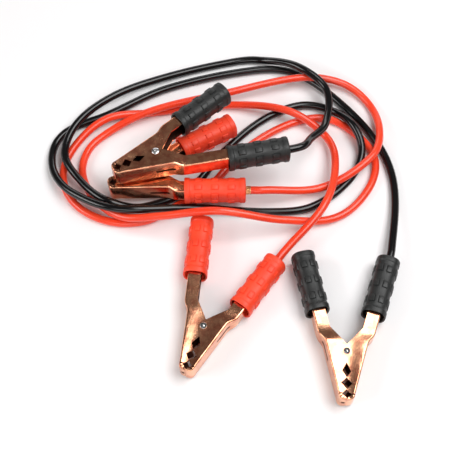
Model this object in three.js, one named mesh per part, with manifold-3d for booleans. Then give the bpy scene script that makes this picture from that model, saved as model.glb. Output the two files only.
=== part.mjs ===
// A pair of car jumper cables, red and black, laid out loose on the ground.
// Each lead has a copper-plated spring clamp at both ends. Millimetres, +Z up.
import * as THREE from "three";
import { mergeVertices } from "three/addons/utils/BufferGeometryUtils.js";
import Module from "manifold-3d";

const wasm = await Module();
wasm.setup();

// Driving dimensions of one clamp. Its own frame has the rivet at 0,0, the jaws
// towards -Y, the handles towards +Y, and the sheet's cheeks flat, above and below z = 0.
const gap = 0.3;              // running clearance between pieces that touch
const sheet = 1.2;            // thickness of the steel sheet
const jawHeight = 22;         // height of the wider channel, outside its cheeks
const handleHeight = 17;      // height of either channel inside its grip
const tipReach = 42.6;        // rivet to the tip of the jaws
const tipHalfWidth = 4.2;     // half width of the flat front of the closed tip
const shoulderReach = 38.6;   // rivet to where the rounded tip meets the straight back
const shoulderHalfWidth = 6.9;
const neckY = 10;             // where the jaw's straight back ends and the handle starts
const neckHalfWidth = 19.2;
const joggleLength = 12;      // length over which the channel steps down to the handle
const handleAxisX = 14.3;     // where the handle's middle line would cross y = 0
const handleLean = 15;        // degrees that a handle leans outwards
const handleWidth = 11.5;
const handleBare = 21;        // what a handle is longer than its grip
const crotchY = 6.3;          // where the two handles' inner edges cross
const earReach = 4.2;         // how far an ear passes beyond the rivet's middle
const earDepth = 10.2;        // rivet to the first tooth gap
const tipLand = 1.6;          // solid sheet between the last tooth gap and the tip
const toothPoint = 0.4;       // length of a tooth's point, where the two jaws meet
const slotLength = 18;        // stamped slot in the back of each jaw
const slotHeight = 3;
const slotY = 2.5;            // middle of that slot
const tipHoleWidth = 3;       // small window in the free jaw's tip
const tipHoleHeight = 3.4;

// The diamond gaps between the teeth: each one's share of their whole length, how far along
// itself it is widest, and half of that width.
const toothGaps = [
  { share: 0.43, widest: 0.58, half: 3.6 },
  { share: 0.33, widest: 0.45, half: 4.5 },
  { share: 0.24, widest: 0.54, half: 3.9 },
];

// The rivet and the torsion spring round it.
const rivetRadius = 2.0;
const rivetHeadRadius = 2.9;
const rivetHeadHeight = 0.8;
const rivetDimpleRadius = 1.2;
const rivetDimpleDepth = 0.6;
const springWire = 1.6;
const springTurns = 3;
const springLegReach = 17;    // end of a spring leg, from the rivet, measured along Y

// The insulating grips, of a rounded oblong section.
const gripLength = 57;
const handleEnd = handleBare + gripLength;   // end of a handle, along its own middle line
const gripHalfWidth = 10.3;
const gripHalfHeight = 11.5;
const gripCorner = 8;
const gripWall = 1.8;
const gripEndWall = 3;
const collarLength = 5;       // raised band at the mouth and at the far end
const collarRise = 0.7;

// The cables.
const cableDiameter = 7.5;
const coreDiameter = 5.2;
const cableSides = 8;
const coreGrab = 12;          // length of bare core inside the handle's channel
const exitRun = 12;           // straight run out of a grip before the cable bends

// Where each clamp lies: its rivet's middle, the way that its handles point, and how it tips.
// gripAt is where the mouth of each grip sits along its handle.
const clamps = {
  black_front: {
    at: [79.5, -109.1, 12.2], heading: 86.6, pitch: 0, roll: 0,
    outer: "free", gripAt: { cable: 38.3, free: 39 }, jacketAt: 82, colour: "black",
  },
  red_front: {
    at: [-43.1, -86.2, 12.2], heading: 68.9, pitch: 0, roll: 0,
    outer: "cable", gripAt: { cable: 30.9, free: 46.4 }, jacketAt: 82, colour: "red",
  },
  black_back: {
    at: [-88, 71.5, 43.9], heading: 25.6, pitch: 0, roll: 0,
    outer: "cable", gripAt: { cable: 61, free: 34 }, jacketAt: 92, colour: "black",
  },
  red_back: {
    at: [-92.2, 62.8, 20.2], heading: 15.4, pitch: 0, roll: 0,
    outer: "cable", gripAt: { cable: 26.2, free: 34 }, jacketAt: 88, colour: "red",
  },
};

// The way that each cable lies on the ground, from its back clamp to its front clamp.
// Where it crosses another run or a grip, it goes over in a long low hump.
const routes = {
  black: [
    [56.9, 98.6, 33.5], [73.2, 124.1, 20.5], [76.6, 166.4, 16.9], [54.2, 188.8, 21.1], [11.8, 212.4, 5.1],
    [-27.9, 208.5, 3.8], [-92, 188.3, 5.3], [-137.5, 164.3, 8.7], [-169.7, 129.4, 12.9], [-179.3, 96.7, 11.8],
    [-167.1, 71.1, 11.9], [-136, 41.5, 16.2], [-100.5, 41, 3.8], [-58.3, 59.8, 4.8], [-28, 99.1, 4.6],
    [10.9, 137.7, 3.8], [49.2, 156.4, 4.2], [79.6, 151.2, 4.6], [101.1, 127.2, 12.9], [108.5, 99.3, 7.3],
    [93.3, 68.4, 3.8], [57.1, 40.8, 3.8], [15.7, 35.2, 4.4], [-53.5, 37.5, 7.9], [-122.1, 29.9, 20.6],
    [-166.4, 49.1, 14.7], [-187.9, 74.9, 8.7], [-192, 106.1, 4], [-179.4, 126.7, 3.8], [-142.3, 145.1, 3.8],
    [-82.1, 178.1, 3.8], [4.1, 200.2, 4.1], [44.9, 197.8, 3.8], [84.1, 167.7, 3.8], [124.6, 113, 3.8],
    [137.1, 64.5, 4.5],
  ],
  red: [
    [69.7, 60, 8.6], [115.7, 89.2, 14.9], [127, 121.2, 10.7], [119.7, 158.7, 4.2], [93.1, 181.3, 8.3],
    [50.3, 184.1, 13.3], [-27.4, 164, 13.5], [-102.5, 143.1, 11], [-149.9, 115.4, 3.8], [-162.4, 85.1, 3.8],
    [-151.8, 54, 3.9], [-122.1, 26.5, 12], [-84.3, 21.4, 21.7], [-34.1, 20, 34.7], [30.2, 19.9, 17.1],
    [83.1, 30.8, 3.8], [112.7, 60.4, 4], [121.2, 93.1, 3.8], [106.2, 120.6, 3.8], [76.2, 141.1, 3.9],
    [39.4, 134.5, 3.8], [-3.8, 105.5, 3.8], [-43.3, 58.5, 3.8], [-70.1, 41.6, 4], [-101, 25.4, 3.8],
    [-134.7, 25.7, 3.8], [-166.5, 44, 3.8], [-180.4, 74.8, 3.8], [-170.6, 109.7, 4.5], [-141.1, 138.2, 8.1],
    [-98.2, 148, 3.8], [-21.2, 155.4, 6.6], [36.7, 143.7, 14.3], [71.9, 121.2, 7.3], [81.2, 87.6, 14.2],
    [68.6, 35.6, 20.6],
  ],
};

const materials = {
  copper: { color: 0xe8a77c, roughness: 0.2, metalness: 1 },
  zinc: { color: 0xb4b8ba, roughness: 0.3, metalness: 1 },
  spring: { color: 0x6d6a66, roughness: 0.4, metalness: 1 },
  red: { color: 0xf03a22, roughness: 0.5, metalness: 0 },
  black: { color: 0x2c302f, roughness: 0.5, metalness: 0 },
  strands: { color: 0xc98a5a, roughness: 0.4, metalness: 1 },
};

const rad = THREE.MathUtils.degToRad;
const lean = rad(handleLean);

// Closed geometries become solids that can be joined and cut, and come back as meshes.
function solid(geometry) {
  const bare = geometry.clone();
  bare.deleteAttribute("normal");
  bare.deleteAttribute("uv");
  const merged = mergeVertices(bare, 1e-4);
  const mesh = new wasm.Mesh({
    numProp: 3,
    vertProperties: new Float32Array(merged.attributes.position.array),
    triVerts: new Uint32Array(merged.index.array),
  });
  return new wasm.Manifold(mesh);
}

function geometryOf(manifold) {
  const mesh = manifold.getMesh();
  const geometry = new THREE.BufferGeometry();
  geometry.setAttribute("position", new THREE.BufferAttribute(mesh.vertProperties, 3));
  geometry.setIndex(new THREE.BufferAttribute(mesh.triVerts, 1));
  geometry.computeVertexNormals();
  return geometry;
}

function slab(points, height) {
  const shape = new THREE.Shape(points.map(([x, y]) => new THREE.Vector2(x, y)));
  const geometry = new THREE.ExtrudeGeometry(shape, { depth: height, bevelEnabled: false });
  return geometry.translate(0, 0, -height / 2);
}

function box(width, depth, height, x, y, z, turn = 0) {
  const geometry = new THREE.BoxGeometry(width, depth, height);
  return geometry.rotateZ(turn).translate(x, y, z);
}

// A place beside a handle's middle line: along it from y = 0, and outwards across it.
function onHandle(along, across) {
  const x = handleAxisX + along * Math.sin(lean) + across * Math.cos(lean);
  const y = along * Math.cos(lean) - across * Math.sin(lean);
  return [x, y];
}

// The back of one side piece, from its tip to the end of its handle.
function backLine() {
  const rounding = [(tipHalfWidth + shoulderHalfWidth * 2) / 3, -(tipReach * 2 + shoulderReach) / 3];
  return [
    [tipHalfWidth, -tipReach],
    rounding,
    [shoulderHalfWidth, -shoulderReach],
    [neckHalfWidth, neckY],
    onHandle(neckY + handleWidth * 0.7, handleWidth / 2),
    onHandle(handleEnd, handleWidth / 2),
  ];
}

// The same line, moved in by a distance, for the inside of the sheet.
function inset(line, distance) {
  const moved = [];
  for (let i = 0; i < line.length; i += 1) {
    const before = line[Math.max(i - 1, 0)];
    const here = line[i];
    const after = line[Math.min(i + 1, line.length - 1)];
    const into = i > 0 ? normalOf(before, here) : normalOf(here, after);
    const out = i < line.length - 1 ? normalOf(here, after) : into;
    const mid = [into[0] + out[0], into[1] + out[1]];
    const scale = (2 * distance) / (mid[0] ** 2 + mid[1] ** 2);
    moved.push([here[0] + mid[0] * scale, here[1] + mid[1] * scale]);
  }
  return moved;
}

function normalOf(a, b) {
  const length = Math.hypot(b[0] - a[0], b[1] - a[1]);
  return [-(b[1] - a[1]) / length, (b[0] - a[0]) / length];
}

// The cheek's inner edge, from the handle's end back past the rivet and along the teeth.
function innerEdge() {
  const meet = gap / 2;
  const bend = onHandle(neckY + handleWidth, -handleWidth / 2);
  const rise = (bend[1] - crotchY) / bend[0];
  const edge = [
    onHandle(handleEnd, -handleWidth / 2),
    bend,
    [-earReach, crotchY - earReach * rise],
    [-earReach, -earReach / 2],
    [meet, -earDepth],
  ];
  const gapsLength = tipReach - tipLand - earDepth - toothPoint * (toothGaps.length - 1);
  let from = earDepth;
  for (const tooth of toothGaps) {
    const length = gapsLength * tooth.share;
    edge.push([tooth.half, -from - length * tooth.widest], [meet, -from - length]);
    from += length + toothPoint;
    edge.push([meet, -from]);
  }
  edge.pop();
  edge.push([meet, -tipReach]);
  return edge;
}

// What is cut away above the handle, where the channel steps down from the jaw.
function stepDown(jaw, handle) {
  const far = handleEnd * 2;
  const profile = [
    [neckY, jaw / 2],
    [neckY + joggleLength, handle / 2],
    [far, handle / 2],
    [far, jaw],
    [neckY, jaw],
  ];
  const shape = new THREE.Shape(profile.map(([y, z]) => new THREE.Vector2(y, z)));
  const geometry = new THREE.ExtrudeGeometry(shape, { depth: far * 2, bevelEnabled: false });
  // The profile's y and z come to lie on the part's own Y and Z.
  geometry.applyMatrix4(new THREE.Matrix4().set(0, 0, 1, -far, 1, 0, 0, 0, 0, 1, 0, 0, 0, 0, 0, 1));
  return geometry;
}

// One side piece of a clamp, on the +X side: handle and jaw are folded from one sheet.
function sidePiece(outer, free) {
  const height = outer ? jawHeight : jawHeight - 2 * (sheet + gap);
  const back = backLine();
  const whole = solid(slab([...back, ...innerEdge()], height));
  const inside = inset(back, sheet).slice(1);
  const reach = handleEnd * 2;
  inside.push(onHandle(reach, handleWidth / 2 - sheet));
  const front = [[-reach, -tipReach + sheet], [tipHalfWidth, -tipReach + sheet]];
  let cavity = solid(slab([...front, ...inside, [-reach, reach]], height - 2 * sheet));
  let body = whole;
  for (const up of [1, -1]) {
    const outerCut = stepDown(height, handleHeight);
    const innerCut = stepDown(height - 2 * sheet, handleHeight - 2 * sheet);
    if (up < 0) {
      outerCut.rotateY(Math.PI);
      innerCut.rotateY(Math.PI);
    }
    body = body.subtract(solid(outerCut));
    cavity = cavity.subtract(solid(innerCut));
  }
  body = body.subtract(cavity);
  const run = [neckHalfWidth - shoulderHalfWidth, neckY + shoulderReach];
  const backTurn = -Math.atan2(run[0], run[1]);
  const slotX = shoulderHalfWidth + (run[0] * (slotY + shoulderReach)) / run[1];
  body = body.subtract(solid(box(sheet * 4, slotLength, slotHeight, slotX, slotY, 0, backTurn)));
  if (free) {
    const holeX = tipHalfWidth / 2;
    body = body.subtract(solid(box(tipHoleWidth, sheet * 4, tipHoleHeight, holeX, -tipReach, 0)));
  }
  const bore = new THREE.CylinderGeometry(rivetRadius + gap, rivetRadius + gap, jawHeight * 2, 12);
  body = body.subtract(solid(bore.rotateX(Math.PI / 2)));
  return geometryOf(body);
}

// The rivet: a shank through both pieces, with a rolled ring head at each end.
function rivet() {
  const top = jawHeight / 2 + gap;
  const rim = top + rivetHeadHeight;
  const half = [
    [rivetRadius, top],
    [rivetHeadRadius, top],
    [rivetHeadRadius, top + rivetHeadHeight / 2],
    [rivetHeadRadius - rivetHeadHeight / 2, rim],
    [rivetDimpleRadius, rim],
    [0, rim - rivetDimpleDepth],
  ];
  const below = half.slice().reverse().map(([r, z]) => [r, -z]);
  const profile = [...below, ...half].map(([r, z]) => new THREE.Vector2(r, z));
  return new THREE.LatheGeometry(profile, 12).rotateX(Math.PI / 2);
}

// The torsion spring: turns round the rivet and a leg along the inside of each handle.
class SpringPath extends THREE.Curve {
  getPoint(t, target = new THREE.Vector3()) {
    const radius = rivetRadius + gap + springWire;
    const pitch = springWire + gap;
    const sweep = 2 * Math.PI * springTurns + Math.PI;
    const coilLength = sweep * radius;
    const legX = handleAxisX + springLegReach * Math.tan(lean) - springWire;
    const legLength = Math.hypot(legX - radius, springLegReach);
    const along = t * (coilLength + 2 * legLength);
    const inCoil = Math.min(Math.max(along - legLength, 0), coilLength);
    const angle = Math.PI + inCoil / radius;
    const z = (inCoil / coilLength - 0.5) * pitch * (springTurns + 0.5);
    target.set(radius * Math.cos(angle), radius * Math.sin(angle), z);
    const side = Math.sign(inCoil - coilLength / 2);
    const pastCoil = Math.max(legLength - along, along - legLength - coilLength, 0) / legLength;
    return target.lerp(new THREE.Vector3(side * legX, springLegReach, z), pastCoil);
  }
}

function spring() {
  const section = circle(springWire / 2, 6);
  return new THREE.ExtrudeGeometry(section, { steps: 40, extrudePath: new SpringPath() });
}

function circle(radius, sides) {
  const points = [];
  for (let i = 0; i < sides; i += 1) {
    const angle = (2 * Math.PI * i) / sides;
    points.push(new THREE.Vector2(radius * Math.cos(angle), radius * Math.sin(angle)));
  }
  return new THREE.Shape(points);
}

function roundedOblong(halfWidth, halfHeight, corner) {
  const shape = new THREE.Shape();
  const x = halfWidth - corner;
  const y = halfHeight - corner;
  shape.moveTo(halfWidth, -y);
  shape.absarc(x, y, corner, 0, Math.PI / 2);
  shape.absarc(-x, y, corner, Math.PI / 2, Math.PI);
  shape.absarc(-x, -y, corner, Math.PI, Math.PI * 1.5);
  shape.absarc(x, -y, corner, Math.PI * 1.5, Math.PI * 2);
  return shape;
}

// A run of the grip's section, raised or sunk by an amount, from one place along it to another.
function gripRun(grow, from, to) {
  const section = roundedOblong(gripHalfWidth + grow, gripHalfHeight + grow, gripCorner + grow);
  const geometry = new THREE.ExtrudeGeometry(section, {
    depth: to - from, bevelEnabled: false, curveSegments: 4,
  });
  return solid(geometry.translate(0, 0, from));
}

// An insulating grip, open at the mouth, with a hole for the cable in its far end.
// It is made along +Z from its mouth, and then laid along its handle.
function grip(mouthAt) {
  let sleeve = gripRun(0, 0, gripLength);
  sleeve = sleeve.add(gripRun(collarRise, 0, collarLength));
  sleeve = sleeve.add(gripRun(collarRise, gripLength - collarLength, gripLength));
  sleeve = sleeve.subtract(gripRun(-gripWall, -gripLength, gripLength - gripEndWall));
  const exitRadius = cableDiameter / 2 + gap;
  const exit = new THREE.CylinderGeometry(exitRadius, exitRadius, gripLength, 12);
  sleeve = sleeve.subtract(solid(exit.rotateX(Math.PI / 2).translate(0, 0, gripLength)));
  const geometry = geometryOf(sleeve);
  const [x, y] = onHandle(mouthAt, 0);
  return geometry.rotateX(-Math.PI / 2).rotateZ(-lean).translate(x, y, 0);
}

// The bare core of the cable, lying in the handle's channel up to the cable's jacket.
function core(jacketAt) {
  const from = handleEnd - coreGrab;
  const length = jacketAt - gap - from;
  const radius = coreDiameter / 2;
  const geometry = new THREE.CylinderGeometry(radius, radius, length, 10);
  const [x, y] = onHandle(from + length / 2, 0);
  return geometry.rotateZ(-lean).translate(x, y, 0);
}

// A mirror image in the YZ plane, with its triangles turned round to face out again.
function mirrored(geometry) {
  const flipped = geometry.index ? geometry.toNonIndexed() : geometry.clone();
  flipped.scale(-1, 1, 1);
  const position = flipped.attributes.position;
  const swap = new THREE.Vector3();
  const other = new THREE.Vector3();
  for (let i = 0; i < position.count; i += 3) {
    swap.fromBufferAttribute(position, i);
    other.fromBufferAttribute(position, i + 1);
    position.setXYZ(i, other.x, other.y, other.z);
    position.setXYZ(i + 1, swap.x, swap.y, swap.z);
  }
  flipped.computeVertexNormals();
  return flipped;
}

function named(name, geometry, finish) {
  const mesh = new THREE.Mesh(geometry, new THREE.MeshStandardMaterial(materials[finish]));
  mesh.name = name;
  return mesh;
}

// One whole clamp: two side pieces, rivet, spring, two grips and the end of the cable's core.
function clamp(name, placing) {
  const group = new THREE.Group();
  group.position.set(...placing.at);
  group.rotation.set(rad(placing.pitch), rad(placing.roll), rad(placing.heading - 90), "ZXY");
  const cableJaw = sidePiece(placing.outer === "cable", false);
  const freeJaw = mirrored(sidePiece(placing.outer === "free", true));
  group.add(named(`${name}_cable_jaw`, cableJaw, "copper"));
  group.add(named(`${name}_free_jaw`, freeJaw, "copper"));
  group.add(named(`${name}_rivet`, rivet(), "zinc"));
  group.add(named(`${name}_spring`, spring(), "spring"));
  group.add(named(`${name}_cable_grip`, grip(placing.gripAt.cable), placing.colour));
  group.add(named(`${name}_free_grip`, mirrored(grip(placing.gripAt.free)), placing.colour));
  group.add(named(`${name}_core`, core(placing.jacketAt), "strands"));
  group.updateMatrixWorld(true);
  return group;
}

// A route's steps come at its own points, so that its bends keep their shape.
class Route extends THREE.CatmullRomCurve3 {
  getUtoTmapping(u) {
    return u;
  }
}

// The two points where a cable runs straight out of its grip: its jacket's end, and past the hole.
function wayOut(placing, group) {
  const exit = Math.max(placing.gripAt.cable + gripLength, placing.jacketAt) + exitRun;
  const places = [placing.jacketAt, exit];
  return places.map((along) => {
    const [x, y] = onHandle(along, 0);
    return new THREE.Vector3(x, y, 0).applyMatrix4(group.matrixWorld);
  });
}

function cable(name, start, middle, end, colour) {
  const points = [...start, ...middle.map((p) => new THREE.Vector3(...p)), ...end.reverse()];
  const path = new Route(points);
  const geometry = new THREE.ExtrudeGeometry(circle(cableDiameter / 2, cableSides), {
    steps: points.length - 1, extrudePath: path,
  });
  return named(name, geometry, colour);
}

const groups = {};
const object = new THREE.Group();
for (const [name, placing] of Object.entries(clamps)) {
  groups[name] = clamp(name, placing);
  object.add(groups[name]);
}
for (const colour of ["black", "red"]) {
  const from = wayOut(clamps[`${colour}_back`], groups[`${colour}_back`]);
  const to = wayOut(clamps[`${colour}_front`], groups[`${colour}_front`]);
  object.add(cable(`${colour}_cable`, from, routes[colour], to, colour));
}

export default object;
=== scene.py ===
# %% [markdown]
# # Car jumper cables, red and black, laid out loose
# This lesson dresses a simple solid model of two jumper cables with the looks of the real ones.
# Every cable has a copper-plated spring clamp at both ends. We load the solids first, as a fixed
# frame, because each piece that we make has to sit where its solid sits.

# %% Load the frame
import math

import bmesh
import bpy
from mathutils import Matrix, Vector


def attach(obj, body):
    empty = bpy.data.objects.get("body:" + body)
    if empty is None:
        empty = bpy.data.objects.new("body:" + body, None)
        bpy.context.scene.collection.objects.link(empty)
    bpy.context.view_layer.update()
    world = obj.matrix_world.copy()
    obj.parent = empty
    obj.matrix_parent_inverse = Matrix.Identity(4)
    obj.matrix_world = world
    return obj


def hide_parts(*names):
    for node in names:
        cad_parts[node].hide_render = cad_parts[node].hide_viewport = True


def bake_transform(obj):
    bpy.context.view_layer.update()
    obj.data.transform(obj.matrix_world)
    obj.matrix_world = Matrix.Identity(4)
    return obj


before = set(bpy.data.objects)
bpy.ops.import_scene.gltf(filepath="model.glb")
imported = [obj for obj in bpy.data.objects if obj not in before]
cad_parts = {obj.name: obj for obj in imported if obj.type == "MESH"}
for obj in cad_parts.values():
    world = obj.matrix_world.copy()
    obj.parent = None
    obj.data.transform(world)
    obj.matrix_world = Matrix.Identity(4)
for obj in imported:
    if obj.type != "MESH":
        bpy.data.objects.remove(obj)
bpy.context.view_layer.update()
MM = 0.001

# %% [markdown]
# ## The camera
# The photograph looks steeply down on the cables. The camera stands 0.87 m from a point on the
# floor among the clamps, and looks at it from 62.5 degrees above the horizon. Camera and cables
# come first, because everything else is judged through them.

# %% Place the camera
LOOKED_AT = Vector((-24.5, 23.5, 0)) * MM
CAMERA_DISTANCE = 0.866
CAMERA_ELEVATION = math.radians(62.5)
camera_data = bpy.data.cameras.new("camera")
camera_data.lens = 73.6
camera_data.sensor_width = 36
camera = bpy.data.objects.new("camera", camera_data)
bpy.context.collection.objects.link(camera)
towards_camera = Vector((0, -math.cos(CAMERA_ELEVATION), math.sin(CAMERA_ELEVATION)))
camera.location = LOOKED_AT + towards_camera * CAMERA_DISTANCE
camera.rotation_euler = (math.pi / 2 - CAMERA_ELEVATION, 0, 0)
bpy.context.scene.camera = camera
print("camera at", [round(x, 3) for x in camera.location])

# %% [markdown]
# ## Where the clamps lie
# All four clamps are the same product, so one set of helpers makes them all. A clamp's own frame
# has the rivet at its origin, the jaws towards -Y and the handles towards +Y. Each clamp is then
# turned to its heading and moved to its place on the floor. The sizes are in millimetres.

# %% Clamp places
CLAMPS = {
    "black_front": {"at": (79.5, -109.1, 12.2), "heading": 86.6, "outer": "free",
                    "mouth": {"cable": 38.3, "free": 39.0}, "jacket": 82, "colour": "black"},
    "red_front": {"at": (-43.1, -86.2, 12.2), "heading": 68.9, "outer": "cable",
                  "mouth": {"cable": 30.9, "free": 46.4}, "jacket": 82, "colour": "red"},
    "black_back": {"at": (-88, 71.5, 43.9), "heading": 25.6, "outer": "cable",
                   "mouth": {"cable": 61.0, "free": 34.0}, "jacket": 92, "colour": "black"},
    "red_back": {"at": (-92.2, 62.8, 20.2), "heading": 15.4, "outer": "cable",
                 "mouth": {"cable": 26.2, "free": 34.0}, "jacket": 88, "colour": "red"},
}
HANDLE_AXIS_X = 14.3
HANDLE_LEAN = math.radians(15)
GRIP_LENGTH = 57
EXIT_RUN = 12


def place_of(clamp):
    """The matrix from a clamp's own millimetres to the scene's metres."""
    turn = Matrix.Rotation(math.radians(clamp["heading"] - 90), 4, "Z")
    return Matrix.Scale(MM, 4) @ Matrix.Translation(clamp["at"]) @ turn


def on_handle(along, across=0.0):
    """A place beside a handle's middle line: along it from y = 0, and outwards across it."""
    x = HANDLE_AXIS_X + along * math.sin(HANDLE_LEAN) + across * math.cos(HANDLE_LEAN)
    y = along * math.cos(HANDLE_LEAN) - across * math.sin(HANDLE_LEAN)
    return Vector((x, y, 0))


print("clamps:", ", ".join(CLAMPS))

# %% [markdown]
# ## The two cables
# A jumper cable is a fixed length of soft vinyl-covered copper. We could let a simulation drop it,
# but the way that these two cross each other is part of the picture, so each route is a given list
# of points, from the back clamp to the front clamp. Where a cable crosses another one it
# rises over it in a long low hump.

# %% Cable routes
CABLE_DIAMETER = 7.5
ROUTES = {
    "black": [
        (56.9, 98.6, 33.5), (73.2, 124.1, 20.5), (76.6, 166.4, 16.9), (54.2, 188.8, 21.1),
        (11.8, 212.4, 5.1), (-27.9, 208.5, 3.8), (-92, 188.3, 5.3), (-137.5, 164.3, 8.7),
        (-169.7, 129.4, 12.9), (-179.3, 96.7, 11.8), (-167.1, 71.1, 11.9), (-136, 41.5, 16.2),
        (-100.5, 41, 3.8), (-58.3, 59.8, 4.8), (-28, 99.1, 4.6), (10.9, 137.7, 3.8),
        (49.2, 156.4, 4.2), (79.6, 151.2, 4.6), (101.1, 127.2, 12.9), (108.5, 99.3, 7.3),
        (93.3, 68.4, 3.8), (57.1, 40.8, 3.8), (15.7, 35.2, 4.4), (-53.5, 37.5, 7.9),
        (-122.1, 29.9, 20.6), (-166.4, 49.1, 14.7), (-187.9, 74.9, 8.7), (-192, 106.1, 4),
        (-179.4, 126.7, 3.8), (-142.3, 145.1, 3.8), (-82.1, 178.1, 3.8), (4.1, 200.2, 4.1),
        (44.9, 197.8, 3.8), (84.1, 167.7, 3.8), (124.6, 113, 3.8), (137.1, 64.5, 4.5),
    ],
    "red": [
        (69.7, 60, 8.6), (115.7, 89.2, 14.9), (127, 121.2, 10.7), (119.7, 158.7, 4.2),
        (93.1, 181.3, 8.3), (50.3, 184.1, 13.3), (-27.4, 164, 13.5), (-102.5, 143.1, 11),
        (-149.9, 115.4, 3.8), (-162.4, 85.1, 3.8), (-151.8, 54, 3.9), (-122.1, 26.5, 12),
        (-84.3, 21.4, 21.7), (-34.1, 20, 34.7), (30.2, 19.9, 17.1), (83.1, 30.8, 3.8),
        (112.7, 60.4, 4), (121.2, 93.1, 3.8), (106.2, 120.6, 3.8), (76.2, 141.1, 3.9),
        (39.4, 134.5, 3.8), (-3.8, 105.5, 3.8), (-43.3, 58.5, 3.8), (-70.1, 41.6, 4),
        (-101, 25.4, 3.8), (-134.7, 25.7, 3.8), (-166.5, 44, 3.8), (-180.4, 74.8, 3.8),
        (-170.6, 109.7, 4.5), (-141.1, 138.2, 8.1), (-98.2, 148, 3.8), (-21.2, 155.4, 6.6),
        (36.7, 143.7, 14.3), (71.9, 121.2, 7.3), (81.2, 87.6, 14.2), (68.6, 35.6, 20.6),
    ],
}


def way_out(name):
    """Where a cable's jacket ends inside its grip, and where it has left the grip straight."""
    clamp = CLAMPS[name]
    clear = max(clamp["mouth"]["cable"] + GRIP_LENGTH, clamp["jacket"]) + EXIT_RUN
    return [place_of(clamp) @ on_handle(along) for along in (clamp["jacket"], clear)]


def whole_route(colour):
    middle = [Vector(point) * MM for point in ROUTES[colour]]
    return way_out(colour + "_back") + middle + way_out(colour + "_front")[::-1]


for colour in ROUTES:
    print(colour, "cable has", len(whole_route(colour)), "points")

# %% [markdown]
# ## From points to a cable
# A Bezier curve passes through its points, and a bevel depth of half the diameter makes it a round
# tube. Automatic handles would overshoot and dip under the floor beside a hump. So the handles are
# set one by one: they run along the line between the neighbours, and they stay level at the top and
# at the foot of every hump.

# %% Draw the cables
CABLES = {}


def level(step, limit):
    """A handle's rise, kept within the rise of its own stretch of cable."""
    return max(-abs(limit), min(abs(limit), step))


def draw_cable(colour):
    route = whole_route(colour)
    curve = bpy.data.curves.new(colour + "_cable_jacket", "CURVE")
    curve.dimensions = "3D"
    curve.bevel_depth = CABLE_DIAMETER * MM / 2
    curve.bevel_resolution = 5
    curve.resolution_u = 10
    curve.use_fill_caps = True
    spline = curve.splines.new("BEZIER")
    spline.bezier_points.add(len(route) - 1)
    length = 0
    for i, point in enumerate(spline.bezier_points):
        here = route[i]
        before = route[max(i - 1, 0)]
        after = route[min(i + 1, len(route) - 1)]
        along = (after - before).normalized()
        if (after.z - here.z) * (here.z - before.z) <= 0 and 1 < i < len(route) - 2:
            along.z = 0
        back = -along * (here - before).length / 3
        on = along * (after - here).length / 3
        if 1 < i < len(route) - 2:
            back.z = level(back.z, here.z - before.z)
            on.z = level(on.z, after.z - here.z)
        point.handle_left_type = point.handle_right_type = "FREE"
        point.co = here
        point.handle_left = here + back
        point.handle_right = here + on
        length += (here - before).length
    piece = bpy.data.objects.new(colour + "_cable_jacket", curve)
    bpy.context.collection.objects.link(piece)
    print(piece.name, "is about", round(length, 3), "m long")
    return piece


for colour in ROUTES:
    CABLES[colour] = draw_cable(colour)

# %% [markdown]
# ## Helpers for the clamps
# Each new piece is built as a bmesh in a clamp's own millimetres. This helper turns the bmesh into
# an object: it lays it in its place, points its faces outwards, and smooths only the faces that
# meet at a low angle, so that folds stay crisp. The modifiers are applied here too, because a
# finished mesh can be checked and measured like the real thing. Every mesh has two empty places
# for finishes: one for its outside, and one for what is dull or hidden.

# %% Turn a bmesh into a piece
SMOOTH_ANGLE = math.radians(38)


def own_piece(name, bm, place, mirror=False, modifiers=(), outwards=True, flat_cheeks=False):
    """Make an object from a bmesh, lay it in its place, and apply its modifiers."""
    bmesh.ops.remove_doubles(bm, verts=bm.verts, dist=1e-4)
    if mirror:
        bmesh.ops.scale(bm, vec=(-1, 1, 1), verts=bm.verts)
    if outwards:
        bmesh.ops.recalc_face_normals(bm, faces=bm.faces)
    elif mirror:
        bmesh.ops.reverse_faces(bm, faces=bm.faces)
    mesh = bpy.data.meshes.new(name)
    bm.to_mesh(mesh)
    bm.free()
    mesh.materials.append(None)
    mesh.materials.append(None)
    piece = bpy.data.objects.new(name, mesh)
    bpy.context.collection.objects.link(piece)
    for kind, settings in modifiers:
        modifier = piece.modifiers.new(kind.lower(), kind)
        for key, value in settings.items():
            setattr(modifier, key, value)
    bpy.context.view_layer.update()
    evaluated = piece.evaluated_get(bpy.context.evaluated_depsgraph_get())
    finished = bpy.data.meshes.new_from_object(evaluated)
    piece.modifiers.clear()
    piece.data = finished
    bpy.data.meshes.remove(mesh)
    finished.name = name
    finished.transform(place)
    finished.polygons.foreach_set("use_smooth", [True] * len(finished.polygons))
    finished.set_sharp_from_angle(angle=SMOOTH_ANGLE)
    if flat_cheeks:
        piece.modifiers.new("weighted_normal", "WEIGHTED_NORMAL").keep_sharp = True
        bpy.context.view_layer.update()
        evaluated = piece.evaluated_get(bpy.context.evaluated_depsgraph_get())
        weighted = bpy.data.meshes.new_from_object(evaluated)
        piece.modifiers.clear()
        piece.data = weighted
    return piece


def smooth_step(t):
    t = max(0.0, min(1.0, t))
    return t * t * (3 - 2 * t)


# %% [markdown]
# ## The jaws: one folded sheet each
# A side of the clamp is stamped from thin steel and folded into a channel, with a cheek above, a
# cheek below and a back between them. The cheeks carry the teeth and the ear for the rivet. Past
# the neck the channel steps down, so that the handle slips into its grip.
# We draw the stamped outline once and extrude it to a block. Then we take the open sides away,
# round the folds with a bevel, and give the skin its thickness. That is close to how the press
# makes it, and it keeps every fold an even radius. Each tooth gap is given by where it starts,
# where it is widest, where it ends, and half of its width.

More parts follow.
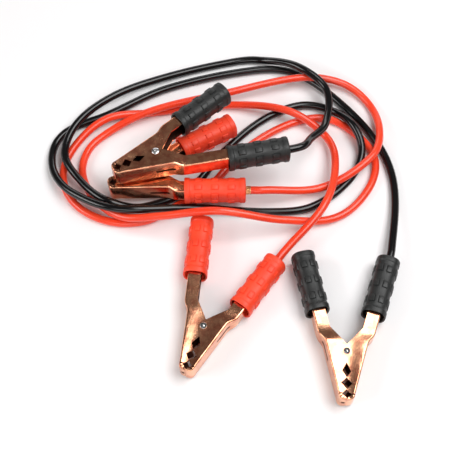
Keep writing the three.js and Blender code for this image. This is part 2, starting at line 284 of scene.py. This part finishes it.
# %% Outline of a side
SHEET = 1.2
JAW_HEIGHT = 22.0
NESTING_GAP = 0.3
HANDLE_HEIGHT = 17.0
TIP_REACH = 42.6
TIP_CORNER = (6.4, -TIP_REACH)
SHOULDER = (7.35, -36.6)
NECK = (19.2, 10.0)
HANDLE_WIDTH = 11.5
HANDLE_END = 78.0
CROTCH_Y = 6.3
EAR_REACH = 4.2
EAR_DEPTH = 10.2
SEAM = 0.15
NECK_SLANT = 0.7
TOOTH_GAPS = [(10.0, 17.6, 23.3, 4.0), (23.4, 28.2, 33.5, 5.0), (33.6, 37.6, 41.3, 4.4)]


def back_line():
    """The folded back, from the seam at the tip to the end of the handle."""
    high = on_handle(NECK[1] + HANDLE_WIDTH * NECK_SLANT, HANDLE_WIDTH / 2)
    end = on_handle(HANDLE_END, HANDLE_WIDTH / 2)
    return [(SEAM, -TIP_REACH), TIP_CORNER, SHOULDER, NECK, tuple(high[:2]), tuple(end[:2])]


def cut_line():
    """The stamped edge, from the end of the handle back past the ear and along the teeth."""
    bend = on_handle(NECK[1] + HANDLE_WIDTH, -HANDLE_WIDTH / 2)
    rise = (bend.y - CROTCH_Y) / bend.x
    end = on_handle(HANDLE_END, -HANDLE_WIDTH / 2)
    line = [tuple(end[:2]), tuple(bend[:2]), (-EAR_REACH, CROTCH_Y - EAR_REACH * rise)]
    line += [(-EAR_REACH, -EAR_REACH / 2), (SEAM, -EAR_DEPTH + 0.2)]
    for near, wide, far, half in TOOTH_GAPS:
        line += [(SEAM, -near), (half, -wide), (SEAM, -far)]
    return line


print("outline:", len(back_line()), "folded and", len(cut_line()), "cut points")

# %% [markdown]
# ## Folding the side
# A pressed cheek is never quite flat. It sinks a little between its folded back and its teeth, and
# polished metal shows that at once, because the slope mirrors another part of the room. The step at
# the neck is steepest along the back, and it reaches the inner edge of the handle later.

# %% Fold a side
FOLD_RADIUS = 1.6
TIP_RADIUS = 4.2
NECK_RADIUS = 2.5
NECK_STEP = (8.5, 17.5)
NECK_LAG = 9.0
NECK_SLICES = [NECK_STEP[0] + 1.4 * step for step in range(14)]
HANDLE_PINCH = 0.25
CHEEK_SINK = 0.9
SINK_EDGE = 2.0
CHEEK_SLICES_X = (1.5, 4.2, 7.3, 10.3, 13.3)
CHEEK_SLICES_Y = (-30.3, -20.3, -14.2, -6.1, 1.7)


def behind_back(point):
    """How far a place lies in front of the handle's back, across the handle."""
    return HANDLE_WIDTH / 2 - (point - on_handle(0)).dot(on_handle(0, 1) - on_handle(0))


def on_back(point):
    """Whether a place lies on the folded back's line, seen from above."""
    line = [Vector(p) for p in back_line()]
    flat = Vector((point.x, point.y))
    for a, b in zip(line, line[1:]):
        t = max(0.0, min(1.0, (flat - a).dot(b - a) / (b - a).length_squared))
        if (a + (b - a) * t - flat).length < 0.02:
            return True
    return False


def back_at(y):
    """How far out the folded back is at a distance along the clamp."""
    line = back_line()
    for (x0, y0), (x1, y1) in zip(line[1:], line[2:]):
        if y <= y1:
            return x0 + (x1 - x0) * max(0.0, (y - y0) / (y1 - y0))
    return line[-1][0]


def hollow(point):
    """How far a cheek sinks between its back and the teeth."""
    back = back_at(point.y)
    return CHEEK_SINK * min(1.0, back / SHOULDER[0]) * smooth_step((back - point.x) / (back - SINK_EDGE))


def round_edges(bm, edges, radius, segments):
    """Give sharp edges a radius."""
    bmesh.ops.bevel(bm, geom=edges, offset=radius, segments=segments, profile=0.5, affect="EDGES",
                    material=-1)


def upright_folds(bm):
    """The edges that run from the lower cheek to the upper one."""
    return [e for e in bm.edges if len(e.link_faces) == 2 and abs(e.verts[0].co.z - e.verts[1].co.z) > 1]


def slice_up(bm, places, facing):
    """Cut every face along planes, so that it can bend there."""
    for place in places:
        everything = bm.verts[:] + bm.edges[:] + bm.faces[:]
        bmesh.ops.bisect_plane(bm, geom=everything, plane_co=place, plane_no=facing, dist=0.05)


def folded_skin(height):
    """The outer skin of one side, open along its cut edge, with rounded folds."""
    bm = bmesh.new()
    outline = [bm.verts.new((x, y, -height / 2)) for x, y in back_line() + cut_line()]
    cheek = bm.faces.new(outline)
    grown = bmesh.ops.extrude_face_region(bm, geom=[cheek])["geom"]
    moved = [g for g in grown if isinstance(g, bmesh.types.BMVert)]
    bmesh.ops.translate(bm, vec=(0, 0, height), verts=moved)
    bmesh.ops.recalc_face_normals(bm, faces=bm.faces)
    open_sides = [
        f for f in bm.faces if abs(f.normal.z) < 0.5 and not on_back(f.calc_center_median())
    ]
    bmesh.ops.delete(bm, geom=open_sides, context="FACES")
    tip = [e for e in upright_folds(bm) if e.verts[0].co.y < SHOULDER[1] - 1]
    round_edges(bm, tip, TIP_RADIUS, 6)
    necks = [e for e in upright_folds(bm) if e.verts[0].co.y > NECK[1] - 1]
    round_edges(bm, necks, NECK_RADIUS, 4)
    slice_up(bm, [(0, y, 0) for y in NECK_SLICES], (0, 1, 0))
    folds = [
        e for e in bm.edges
        if len(e.link_faces) == 2 and abs(e.link_faces[0].normal.dot(e.link_faces[1].normal)) < 0.2
        and abs(e.verts[0].co.z - e.verts[1].co.z) < 0.01
    ]
    round_edges(bm, folds, FOLD_RADIUS, 5)
    slice_up(bm, [(x, 0, 0) for x in CHEEK_SLICES_X], (1, 0, 0))
    slice_up(bm, [(0, y, 0) for y in CHEEK_SLICES_Y], (0, 1, 0))
    shrink = 1 - HANDLE_HEIGHT / height
    for v in bm.verts:
        inwards = max(0.0, min(1.0, behind_back(v.co) / HANDLE_WIDTH))
        t = smooth_step((v.co.y - NECK_STEP[0]) / (NECK_STEP[1] - NECK_STEP[0] + NECK_LAG * inwards))
        sink = hollow(v.co) * (1 - t) / (height / 2)
        v.co.z *= (1 - shrink * t * (1 + HANDLE_PINCH * inwards)) * (1 - sink)
    return bm


probe = folded_skin(JAW_HEIGHT)
print("folded skin:", len(probe.faces), "faces")
probe.free()

# %% [markdown]
# ## Holes punched in the sheet
# The press also punches the sheet: a bore for the rivet, a long slot in the back, and a small
# window in the tip. Around the tip the fold is pinched into small pleats, each given by its
# direction in degrees and its distance. A Boolean modifier with one shared cutter is the direct
# way to punch them all, and its walls take the second finish: the dull inside of the sheet, whose
# dark brown is painted shade.

# %% Build the punch
RIVET_RADIUS = 2.0
SLOT = (18.0, 3.0)
SLOT_Y = 2.5
WINDOW = (3.0, 3.4)
WINDOW_X = 2.3
PLEAT = (3.0, 1.35, 1.35)
PLEAT_CENTRE = 6.2
PLEATS = ((-84, 5.0), (-60, 5.1), (-36, 5.2), (-12, 5.4))
BORE_GAP = 0.15
TOOL_SEGMENTS = 24


def punch(name, height, with_window):
    bm = bmesh.new()
    bore = RIVET_RADIUS + BORE_GAP
    bmesh.ops.create_cone(bm, cap_ends=True, segments=TOOL_SEGMENTS, radius1=bore, radius2=bore,
                          depth=height * 2)
    run = Vector((NECK[0] - SHOULDER[0], NECK[1] - SHOULDER[1]))
    turn = Matrix.Rotation(-math.atan2(run.x, run.y), 4, "Z")
    slot_x = SHOULDER[0] + run.x * (SLOT_Y - SHOULDER[1]) / run.y
    slot_size = Matrix.Diagonal((SHEET * 4, SLOT[0], SLOT[1], 1))
    bmesh.ops.create_cube(bm, size=1, matrix=Matrix.Translation((slot_x, SLOT_Y, 0)) @ turn @ slot_size)
    if with_window:
        window_size = Matrix.Diagonal((WINDOW[0], SHEET * 4, WINDOW[1], 1))
        bmesh.ops.create_cube(bm, size=1, matrix=Matrix.Translation((WINDOW_X, -TIP_REACH, 0)) @ window_size)
    for sweep, reach in PLEATS:
        angle = math.radians(sweep)
        rim = Vector((math.cos(angle) * reach, -TIP_REACH + PLEAT_CENTRE + math.sin(angle) * reach, 0))
        for side in (1, -1):
            spot = Matrix.Translation((rim.x, rim.y, side * height / 2))
            ridge = spot @ Matrix.Rotation(angle, 4, "Z") @ Matrix.Rotation(math.pi / 4, 4, "X")
            bmesh.ops.create_cube(bm, size=1, matrix=ridge @ Matrix.Diagonal((*PLEAT, 1)))
    mesh = bpy.data.meshes.new(name)
    bmesh.ops.recalc_face_normals(bm, faces=bm.faces)
    for face in bm.faces:
        face.material_index = 1
    bm.to_mesh(mesh)
    bm.free()
    mesh.materials.append(None)
    mesh.materials.append(None)
    tool = bpy.data.objects.new(name, mesh)
    bpy.context.collection.objects.link(tool)
    return tool


def side(name, clamp, which):
    outer = clamp["outer"] == which
    height = JAW_HEIGHT if outer else JAW_HEIGHT - 2 * (SHEET + NESTING_GAP)
    tool = punch("punch", height, which == "free")
    if which == "free":
        tool.data.transform(Matrix.Scale(-1, 4, (1, 0, 0)))
        tool.data.flip_normals()
    modifiers = [
        ("SOLIDIFY", {"thickness": SHEET, "offset": -1, "use_even_offset": True, "material_offset": 1}),
        ("BOOLEAN", {"operation": "DIFFERENCE", "solver": "EXACT", "object": tool}),
        ("BEVEL", {"width": 0.14, "segments": 2, "limit_method": "ANGLE", "angle_limit": math.radians(45)}),
    ]
    piece = own_piece(name, folded_skin(height), place_of(clamp), which == "free", modifiers, outwards=False,
                      flat_cheeks=True)
    bpy.data.objects.remove(tool)
    return piece


JAWS = {}
for name, clamp in CLAMPS.items():
    for which in ("cable", "free"):
        JAWS[name, which] = side(f"{name}_{which}_side", clamp, which)
        print(f"{name} {which} side:", len(JAWS[name, which].data.polygons), "faces")

# %% [markdown]
# ## The rivets
# A rivet is a turned part, so we draw half of its section and spin it once round its axis. The
# back clamps have a low dome. The front ones have a rolled rim round a groove that is coloured darker.

# %% Turn the rivets
RIVETS = {}
RIM_HEIGHT = 0.95
RIVET_STEPS = 32
GROOVE_INNER = 1.0
RIM_WIDTH = 0.5
SEAT = 0.05
HEAD_RADIUS = {"black_front": 2.9, "red_front": 3.0, "black_back": 3.4, "red_back": 3.0}


def half_section(head, dimple):
    top = JAW_HEIGHT / 2 - hollow(Vector((0, 0, 0))) + SEAT
    rim = top + RIM_HEIGHT
    if dimple:
        upper = [(RIVET_RADIUS, top), (head, top), (head + 0.1, top + 0.45), (head - 0.35, rim),
                 (head - 0.9, rim), (head - 1.3, rim - 0.45), (1.0, rim - 0.5),
                 (0.6, rim - 0.25), (0, rim - 0.2)]
    else:
        upper = [(RIVET_RADIUS, top), (head, top), (head + 0.1, top + 0.3), (head - 0.3, rim - 0.3),
                 (head - 1.2, rim - 0.02), (0.9, rim + 0.08), (0.7, rim - 0.08), (0, rim - 0.12)]
    return [(r, -z) for r, z in reversed(upper)] + upper


def rivet(name, clamp):
    bm = bmesh.new()
    section = half_section(HEAD_RADIUS[name], dimple=name.endswith("front"))
    line = [bm.verts.new((r, 0, z)) for r, z in section]
    edges = [bm.edges.new(pair) for pair in zip(line, line[1:])]
    bmesh.ops.spin(bm, geom=line + edges, cent=(0, 0, 0), axis=(0, 0, 1), angle=2 * math.pi,
                   steps=RIVET_STEPS, use_merge=True)
    for face in bm.faces:
        middle = face.calc_center_median()
        in_head = abs(middle.z) > JAW_HEIGHT / 2 - CHEEK_SINK
        in_groove = GROOVE_INNER < middle.xy.length < HEAD_RADIUS[name] - RIM_WIDTH
        if in_head and in_groove and name.endswith("front"):
            face.material_index = 1
    modifiers = [("BEVEL", {"width": 0.12, "segments": 2, "limit_method": "ANGLE",
                            "angle_limit": math.radians(30)})]
    return own_piece(name + "_turned_rivet", bm, place_of(clamp), modifiers=modifiers)


for name, clamp in CLAMPS.items():
    RIVETS[name] = rivet(name, clamp)
print("rivets:", len(RIVETS))

# %% [markdown]
# ## The springs
# The torsion spring sits round the rivet, with a straight leg pressing on the inside of each
# handle. A wire is a curve with a bevel depth. It is turned into a mesh afterwards.

# %% Wind the springs
SPRING_WIRE = 1.6
SPRING_TURNS = 3
SPRING_LEG = 17.0
SPRINGS = {}


def spring_line():
    radius = RIVET_RADIUS + NESTING_GAP + SPRING_WIRE
    rise = (SPRING_WIRE + NESTING_GAP) * (SPRING_TURNS + 0.5)
    leg_x = HANDLE_AXIS_X + SPRING_LEG * math.tan(HANDLE_LEAN) - SPRING_WIRE
    steps = 24 * SPRING_TURNS + 12
    coil = []
    for i in range(steps + 1):
        angle = math.pi + math.radians(360 * SPRING_TURNS + 180) * i / steps
        coil.append(Vector((radius * math.cos(angle), radius * math.sin(angle), rise * (i / steps - 0.5))))
    return [Vector((-leg_x, SPRING_LEG, -rise / 2))] + coil + [Vector((leg_x, SPRING_LEG, rise / 2))]


def wire(name, line, thickness, place):
    curve = bpy.data.curves.new(name, "CURVE")
    curve.dimensions = "3D"
    curve.bevel_depth = thickness / 2
    curve.bevel_resolution = 3
    curve.use_fill_caps = True
    spline = curve.splines.new("POLY")
    spline.points.add(len(line) - 1)
    for point, at in zip(spline.points, line):
        point.co = (*at, 1)
    drawn = bpy.data.objects.new(name, curve)
    bpy.context.collection.objects.link(drawn)
    bpy.context.view_layer.update()
    mesh = bpy.data.meshes.new_from_object(drawn.evaluated_get(bpy.context.evaluated_depsgraph_get()))
    bpy.data.objects.remove(drawn)
    mesh.transform(place)
    mesh.polygons.foreach_set("use_smooth", [True] * len(mesh.polygons))
    piece = bpy.data.objects.new(name, mesh)
    bpy.context.collection.objects.link(piece)
    return piece


for name, clamp in CLAMPS.items():
    SPRINGS[name] = wire(name + "_wound_spring", spring_line(), SPRING_WIRE, place_of(clamp))
print("springs:", len(SPRINGS))

# %% [markdown]
# ## The grips
# The grips are soft vinyl sleeves, moulded with a raised band at each end and with rows of raised
# square pads between them, so that a hand in a glove holds them. We start from a circle, pull it
# out ring by ring along the sleeve, and close its far end down to the cable's hole. The pads are
# groups of faces, inset and pushed outwards in one step.

# %% Mould a grip
GRIP_HALF_WIDTH = 10.3
GRIP_HALF_HEIGHT = 11.5
GRIP_WALL = 1.7
COLUMNS = 8
SPAN = 6
PAD_SPAN = 4
PAD_RISE = 0.75
GROOVE = 0.4
GROOVE_WIDTH = 0.4
PAD_SLOPE = 0.3
PADS = [(9.2, 16.4), (24.6, 31.8), (40.0, 47.2)]
FRONT_BAND = [(0, 0.35), (0.8, 0.75), (4.6, 0.7), (5.4, 0.0)]
BACK_BAND = [(51.4, 0.0), (52.2, 0.55), (55.9, 0.45), (56.7, -0.1), (57, -0.9)]
VALLEY = 1.6
VALLEY_DEPTH = 0.15
CROWN = 0.1
SQUARENESS = 2.6
HOLE_GAP = 0.2
GRIPS = {}


def sleeve_section(angle, grow):
    """A rounded oblong: between an ellipse and a box."""
    c, s = math.cos(angle), math.sin(angle)
    radius = (abs(c) ** SQUARENESS + abs(s) ** SQUARENESS) ** (-1 / SQUARENESS)
    return Vector((radius * c * (GRIP_HALF_WIDTH + grow), radius * s * (GRIP_HALF_HEIGHT + grow), 0))


def around(vert):
    """A vertex's direction round the sleeve's middle line."""
    return math.atan2(vert.co.y, vert.co.x)


def next_ring(bm, edges):
    """Pull the last ring of edges out to a new ring, with its vertices in order."""
    grown = bmesh.ops.extrude_edge_only(bm, edges=edges)["geom"]
    pulled = [g for g in grown if isinstance(g, bmesh.types.BMEdge)]
    return pulled, sorted({v for e in pulled for v in e.verts}, key=around)


def moulded_sleeve():
    bm = bmesh.new()
    sides = COLUMNS * SPAN
    ring = sorted(bmesh.ops.create_circle(bm, segments=sides, radius=1)["verts"], key=around)
    angles = [around(v) for v in ring]
    stations = list(FRONT_BAND)
    for near, far in PADS:
        stations += [(near - VALLEY, -VALLEY_DEPTH), (near, 0.0), ((near + far) / 2, CROWN)]
        stations += [(far, 0.0), (far + VALLEY, -VALLEY_DEPTH)]
    stations += BACK_BAND
    edges = list(bm.edges)
    for index, (z, grow) in enumerate(stations):
        if index:
            edges, ring = next_ring(bm, edges)
        for v, angle in zip(ring, angles):
            v.co = sleeve_section(angle, grow) + Vector((0, 0, z))
    end, shrunk = BACK_BAND[-1]
    for outwards in (0.44, 0.0):
        edges, ring = next_ring(bm, edges)
        for v, angle in zip(ring, angles):
            hole = Vector((math.cos(angle), math.sin(angle), 0)) * (CABLE_DIAMETER / 2 + HOLE_GAP)
            v.co = hole.lerp(sleeve_section(angle, shrunk), outwards) + Vector((0, 0, end))
    bmesh.ops.recalc_face_normals(bm, faces=bm.faces)
    if sum(f.normal.dot(f.calc_center_median() - Vector((0, 0, GRIP_LENGTH / 2))) for f in bm.faces) < 0:
        bmesh.ops.reverse_faces(bm, faces=bm.faces)
    raised = []
    for face in bm.faces:
        middle = face.calc_center_median()
        column = (math.degrees(math.atan2(middle.y, middle.x)) % 360) / (360 / sides)
        in_column = column % SPAN < PAD_SPAN
        if in_column and any(near < middle.z < far for near, far in PADS):
            raised.append(face)
    for width, rise in ((GROOVE_WIDTH, -GROOVE), (PAD_SLOPE, GROOVE + PAD_RISE)):
        bmesh.ops.inset_region(bm, faces=raised, thickness=width, depth=rise, use_even_offset=True)
    return bm


def grip(name, clamp, which):
    bm = moulded_sleeve()
    lay_down = Matrix.Rotation(-HANDLE_LEAN, 4, "Z") @ Matrix.Rotation(-math.pi / 2, 4, "X")
    at = Matrix.Translation(on_handle(clamp["mouth"][which]))
    bmesh.ops.transform(bm, matrix=at @ lay_down, verts=bm.verts)
    modifiers = [
        ("SOLIDIFY", {"thickness": GRIP_WALL, "offset": -1}),
        ("BEVEL", {"width": 0.25, "segments": 2, "limit_method": "ANGLE", "angle_limit": math.radians(30)}),
    ]
    return own_piece(name, bm, place_of(clamp), which == "free", modifiers, outwards=False)


for name, clamp in CLAMPS.items():
    for which in ("cable", "free"):
        GRIPS[name, which] = grip(f"{name}_{which}_sleeve", clamp, which)
print("grips:", len(GRIPS), "with", len(GRIPS["red_back", "free"].data.polygons), "faces each")

# %% [markdown]
# ## The bare strands
# Inside each grip the jacket ends, and the copper strands run on into the handle, where they are
# clamped. On the red back clamp they show for a few millimetres behind the grip, where they have
# sprung a little apart. Each strand is a small circle, spun round the cable's middle line while it
# moves along, so that the bundle has the twist of a real one. A layer is given by its number of
# strands, its radius and its twist.

# %% Lay the strands
STRAND = 1.2
LAYERS = ((6, 1.2, 0.9), (13, 2.45, 0.8))
LOOSE_BUNDLE = 1.3
HIDDEN_LENGTH = 12
TWIST_STEPS = 16
STRANDS = {}


def strand_bundle(name, clamp):
    start = HANDLE_END - HIDDEN_LENGTH
    length = clamp["jacket"] - start
    bm = bmesh.new()
    loose = LOOSE_BUNDLE if name == "red_back" else 1.0
    for count, radius, turn in LAYERS:
        for i in range(count):
            out = Matrix.Translation((radius * loose, 0, 0))
            where = Matrix.Rotation(2 * math.pi * i / count, 4, "Z") @ out
            ring = bmesh.ops.create_circle(bm, cap_ends=True, segments=8, radius=STRAND * loose / 2,
                                           matrix=where)
            verts = ring["verts"]
            geom = verts + list({e for v in verts for e in v.link_edges})
            geom += list({f for v in verts for f in v.link_faces})
            bmesh.ops.spin(bm, geom=geom, cent=(0, 0, 0), axis=(0, 0, 1), angle=turn,
                           dvec=(0, 0, length / TWIST_STEPS), steps=TWIST_STEPS)
    lay_down = Matrix.Rotation(-HANDLE_LEAN, 4, "Z") @ Matrix.Rotation(-math.pi / 2, 4, "X")
    bmesh.ops.transform(bm, matrix=Matrix.Translation(on_handle(start)) @ lay_down, verts=bm.verts)
    return own_piece(name + "_strands", bm, place_of(clamp))


for name, clamp in CLAMPS.items():
    STRANDS[name] = strand_bundle(name, clamp)
print("strand bundles:", len(STRANDS))

# %% [markdown]
# ## Finishes
# Each finish is a small node tree on a Principled shader. The patterns read Object coordinates.
# Every piece's object sits at the origin, so those coordinates are plain metres in the scene, and
# a noise scale of 1000 makes specks of about a millimetre.

# %% A finish to start from
def new_finish(name, **sockets):
    finish = bpy.data.materials.new(name)
    finish.use_nodes = True
    shader = finish.node_tree.nodes["Principled BSDF"]
    for socket, value in sockets.items():
        shader.inputs[socket.replace("_", " ")].default_value = value
    return finish


def noise(finish, scale, detail):
    """A noise texture on Object coordinates, in metres."""
    nodes, links = finish.node_tree.nodes, finish.node_tree.links
    where = nodes.new("ShaderNodeTexCoord")
    pattern = nodes.new("ShaderNodeTexNoise")
    pattern.inputs["Scale"].default_value = scale
    pattern.inputs["Detail"].default_value = detail
    links.new(where.outputs["Object"], pattern.inputs["Vector"])
    return pattern


def tint(finish, pattern, first, second):
    """Blend two colours by a pattern; each comes with the pattern's value where it is pure."""
    nodes, links = finish.node_tree.nodes, finish.node_tree.links
    blend = nodes.new("ShaderNodeValToRGB")
    for point, (position, colour) in zip(blend.color_ramp.elements, (first, second)):
        point.position = position
        point.color = (*colour, 1)
    links.new(pattern.outputs[0], blend.inputs[0])
    links.new(blend.outputs[0], nodes["Principled BSDF"].inputs["Base Color"])


def rough_range(finish, pattern, low, high):
    """Let the roughness follow a pattern."""
    nodes, links = finish.node_tree.nodes, finish.node_tree.links
    span = nodes.new("ShaderNodeMapRange")
    span.inputs["From Min"].default_value = 0.3
    span.inputs["From Max"].default_value = 0.7
    span.inputs["To Min"].default_value = low
    span.inputs["To Max"].default_value = high
    links.new(pattern.outputs[0], span.inputs["Value"])
    links.new(span.outputs[0], nodes["Principled BSDF"].inputs["Roughness"])


def bump(finish, pattern, distance, strength=1.0):
    """Let a pattern stand out of the surface by a distance in metres."""
    nodes, links = finish.node_tree.nodes, finish.node_tree.links
    relief = nodes.new("ShaderNodeBump")
    relief.inputs["Distance"].default_value = distance
    relief.inputs["Strength"].default_value = strength
    links.new(pattern.outputs[0], relief.inputs["Height"])
    links.new(relief.outputs[0], nodes["Principled BSDF"].inputs["Normal"])


# %% [markdown]
# ## Copper plating
# The clamps are steel with a thin bright copper plate. It mirrors the studio, so most of its look
# comes from the lights: nearly white where it mirrors a lamp, dark brown where it mirrors nothing.
# Noise makes patches of slightly darker copper, and a fine noise stands for the grain of the
# sheet. Pressed sheet is also slightly wavy, and slow waves in the bump bend its mirror images.
# The inside of the sheet was never polished, so it is rougher. Its dark brown colour is painted
# shade: the inside of the channel is coloured as though it lay in shadow.

# %% Mix the copper plating
WAVINESS = 8.0


def copper_finish(name, bright, darker_patch, rough, relief):
    finish = new_finish(name, Metallic=1.0)
    tint(finish, noise(finish, 130, 9), (0.4, bright), (0.6, darker_patch))
    grain = noise(finish, 900, 4)
    rough_range(finish, grain, *rough)
    waves = noise(finish, 28, 2)
    height = finish.node_tree.nodes.new("ShaderNodeMath")
    height.operation = "MULTIPLY_ADD"
    height.inputs[1].default_value = WAVINESS
    finish.node_tree.links.new(waves.outputs[0], height.inputs[0])
    finish.node_tree.links.new(grain.outputs[0], height.inputs[2])
    bump(finish, height, relief, 0.5)
    return finish


copper = copper_finish("copper_plating", (0.95, 0.49, 0.29), (0.74, 0.29, 0.17), (0.13, 0.26), 0.00005)
# The inside finish's two dark browns are painted shade for the hidden inside of the channel.
shaded_inside_copper = copper_finish("copper_inside_painted_shade", (0.16, 0.06, 0.04), (0.07, 0.025, 0.018),
                            (0.4, 0.6), 0.00008)
print("mixed", copper.name, "and", shaded_inside_copper.name)

# %% [markdown]
# ## Zinc, spring steel and bare copper
# The rivet is zinc plated: a cool light grey metal with small cloudy spangles, and a darker
# colour in its groove. The spring is oiled wire, darker and a little rougher. The strands are soft
# drawn copper, slightly tarnished.

# %% Mix the other metals
zinc = new_finish("zinc_plating", Metallic=1.0)
spangle = noise(zinc, 900, 2)
tint(zinc, spangle, (0.35, (0.62, 0.64, 0.66)), (0.65, (0.84, 0.85, 0.86)))
rough_range(zinc, spangle, 0.16, 0.34)

dull_zinc = new_finish("dull_zinc_groove", Metallic=1.0, Roughness=0.45)
# The groove is coloured darker than the rest of the head.
groove_tone = noise(dull_zinc, 700, 3)
tint(dull_zinc, groove_tone, (0.35, (0.05, 0.05, 0.05)), (0.7, (0.13, 0.125, 0.12)))

spring_steel = new_finish("spring_steel", Metallic=1.0)
drawn = noise(spring_steel, 1200, 3)
tint(spring_steel, drawn, (0.3, (0.16, 0.155, 0.15)), (0.7, (0.34, 0.33, 0.32)))
rough_range(spring_steel, drawn, 0.28, 0.42)

bare_copper = new_finish("bare_copper", Metallic=1.0)
tarnish = noise(bare_copper, 500, 4)
tint(bare_copper, tarnish, (0.35, (0.83, 0.47, 0.24)), (0.68, (0.45, 0.24, 0.11)))
rough_range(bare_copper, tarnish, 0.22, 0.4)
print("mixed", zinc.name, spring_steel.name, bare_copper.name)

# %% [markdown]
# ## Vinyl
# The grips are soft satin vinyl with a fine moulded grain, and the jackets are the same vinyl drawn
# smooth, so they shine in thin streaks. Dust and handling make the black grips slightly greenish
# grey. Both colours get a slow change of tone, so that no stretch looks dead flat.

# %% Mix the vinyls
def vinyl(name, light, dark, rough, grain_depth, coat):
    finish = new_finish(name, Specular_IOR_Level=0.5, Coat_Weight=coat, Coat_Roughness=0.12)
    tint(finish, noise(finish, 38, 3), (0.35, light), (0.68, dark))
    fine = noise(finish, 1600, 3)
    rough_range(finish, fine, *rough)
    bump(finish, fine, grain_depth)
    return finish


GRIP_FINISH = {
    "black": vinyl("black_grip_vinyl", (0.017, 0.0185, 0.018), (0.010, 0.011, 0.011),
                   (0.36, 0.52), 0.00012, 0.0),
    "red": vinyl("red_grip_vinyl", (0.96, 0.068, 0.020), (0.90, 0.052, 0.016),
                 (0.42, 0.56), 0.0001, 0.0),
}
JACKET_FINISH = {
    "black": vinyl("black_jacket_vinyl", (0.0045, 0.0045, 0.005), (0.003, 0.003, 0.0035),
                   (0.13, 0.2), 0.00002, 0.0),
    "red": vinyl("red_jacket_vinyl", (0.93, 0.060, 0.018), (0.88, 0.046, 0.014), (0.24, 0.32), 0.00002, 0.25),
}
print("mixed", len(GRIP_FINISH) + len(JACKET_FINISH), "vinyls")

# %% [markdown]
# ## Dress every piece
# Now every piece gets its finish and takes the place of its solid. The sides of a clamp with the
# cable ride on the root, and the free sides ride on a body of their own. A spring joins both sides;
# it rides on no body, and its mesh is baked into place.

# %% Ride, replace and dress
def dress(piece, finish, body, node, inner=None):
    """Give a piece its finish, its dull inner one where it has one (on the clamp sides a painted shade), its
    body and its solid.
    """
    finishes = piece.data.materials
    while len(finishes) < 2:
        finishes.append(None)
    finishes[0] = finish
    finishes[1] = inner or finish
    if body:
        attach(piece, body)
    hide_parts(node)


for name, clamp in CLAMPS.items():
    colour = clamp["colour"]
    for which in ("cable", "free"):
        body = "root" if which == "cable" else name + "_free_side"
        dress(JAWS[name, which], copper, body, f"{name}_{which}_jaw",
              inner=shaded_inside_copper)
        dress(GRIPS[name, which], GRIP_FINISH[colour], body, f"{name}_{which}_grip")
    dress(RIVETS[name], zinc, "root", name + "_rivet", inner=dull_zinc)
    dress(STRANDS[name], bare_copper, "root", name + "_core")
    dress(SPRINGS[name], spring_steel, None, name + "_spring")
    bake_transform(SPRINGS[name])

# %% [markdown]
# ## The cable jackets
# A cable hangs and lies under its own weight. Each jacket gets its vinyl finish, rides on the root
# and takes the place of its solid.

for colour, cable in CABLES.items():
    dress(cable, JACKET_FINISH[colour], "root", colour + "_cable")

# %% [markdown]
# ## Floor and light
# The cables lie on a plain white floor. Bright metal shows whatever is around it, so the lamps are
# large and soft. The main one hangs up on the right, where the front black clamp mirrors it. The
# part of the room that the back clamps mirror stays darker, which turns their cheeks brown.

# %% Lay the floor
bm = bmesh.new()
bmesh.ops.create_grid(bm, x_segments=2, y_segments=2, size=3)
floor_mesh = bpy.data.meshes.new("floor")
bm.to_mesh(floor_mesh)
bm.free()
floor = bpy.data.objects.new("floor", floor_mesh)
bpy.context.collection.objects.link(floor)
floor.data.materials.append(new_finish("white_floor", Roughness=0.6, Base_Color=(0.92, 0.915, 0.92, 1)))
print("floor laid")


# %% Hang the lamps
def lamp(name, at, aim, size, power):
    data = bpy.data.lights.new(name, "AREA")
    data.shape = "RECTANGLE"
    data.size, data.size_y = size
    data.energy = power
    light = bpy.data.objects.new(name, data)
    light.location = at
    light.rotation_euler = (Vector(aim) - Vector(at)).to_track_quat("-Z", "Y").to_euler()
    bpy.context.collection.objects.link(light)


lamp("main_softbox", (0.74, 0.06, 1.45), (0.68, 0.06, 0), (1.3, 1.1), 25)
lamp("left_softbox", (-1.5, -0.3, 1.0), (0, 0, 0), (1.2, 0.7), 15)
lamp("front_softbox", (-0.2, -1.5, 1.0), (0, 0, 0), (1.4, 0.6), 9)
lamp("back_softbox", (0.0, 1.9, 0.75), (0, 0, 0), (1.8, 0.5), 8)
world = bpy.data.worlds.new("studio")
world.use_nodes = True
world.node_tree.nodes["Background"].inputs["Color"].default_value = (1, 0.86, 0.82, 1)
world.node_tree.nodes["Background"].inputs["Strength"].default_value = 0.11
bpy.context.scene.world = world
bpy.context.scene.view_settings.view_transform = "Standard"
print("lamps hung")
